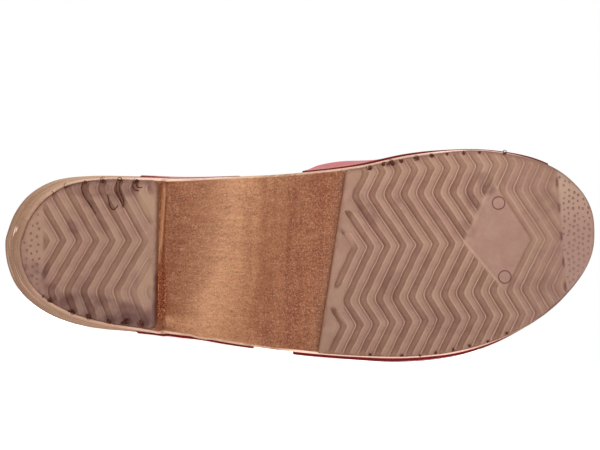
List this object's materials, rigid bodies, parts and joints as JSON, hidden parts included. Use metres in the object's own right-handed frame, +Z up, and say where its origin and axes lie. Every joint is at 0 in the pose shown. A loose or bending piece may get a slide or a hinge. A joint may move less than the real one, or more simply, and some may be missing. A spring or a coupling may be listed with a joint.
{
  "type": "clog",
  "caption": "Open-toed clog with a wooden sole, moulded zigzag treads, a leather vamp and a leather heel strap, lying on its side.",
  "frame": {"origin": "centre of the bounding box at the floor that the shoe lies on", "axes": "+X from heel to toe along the floor, -Y the way the treads face, +Z up, which is the shoe's medial side"},
  "size_m": [0.261, 0.1056, 0.1013],
  "materials": {
    "wood": "oiled light hardwood, fine speckled grain, no lacquer",
    "rubber": "satin brown moulded rubber",
    "leather": "smooth red leather, soft sheen"
  },
  "bodies": {
    "root": {"wood_sole": "wood", "heel_rubber": "rubber", "forefoot_rubber": "rubber", "upper_vamp": "leather", "heel_strap": "leather"}
  },
  "joints": []
}
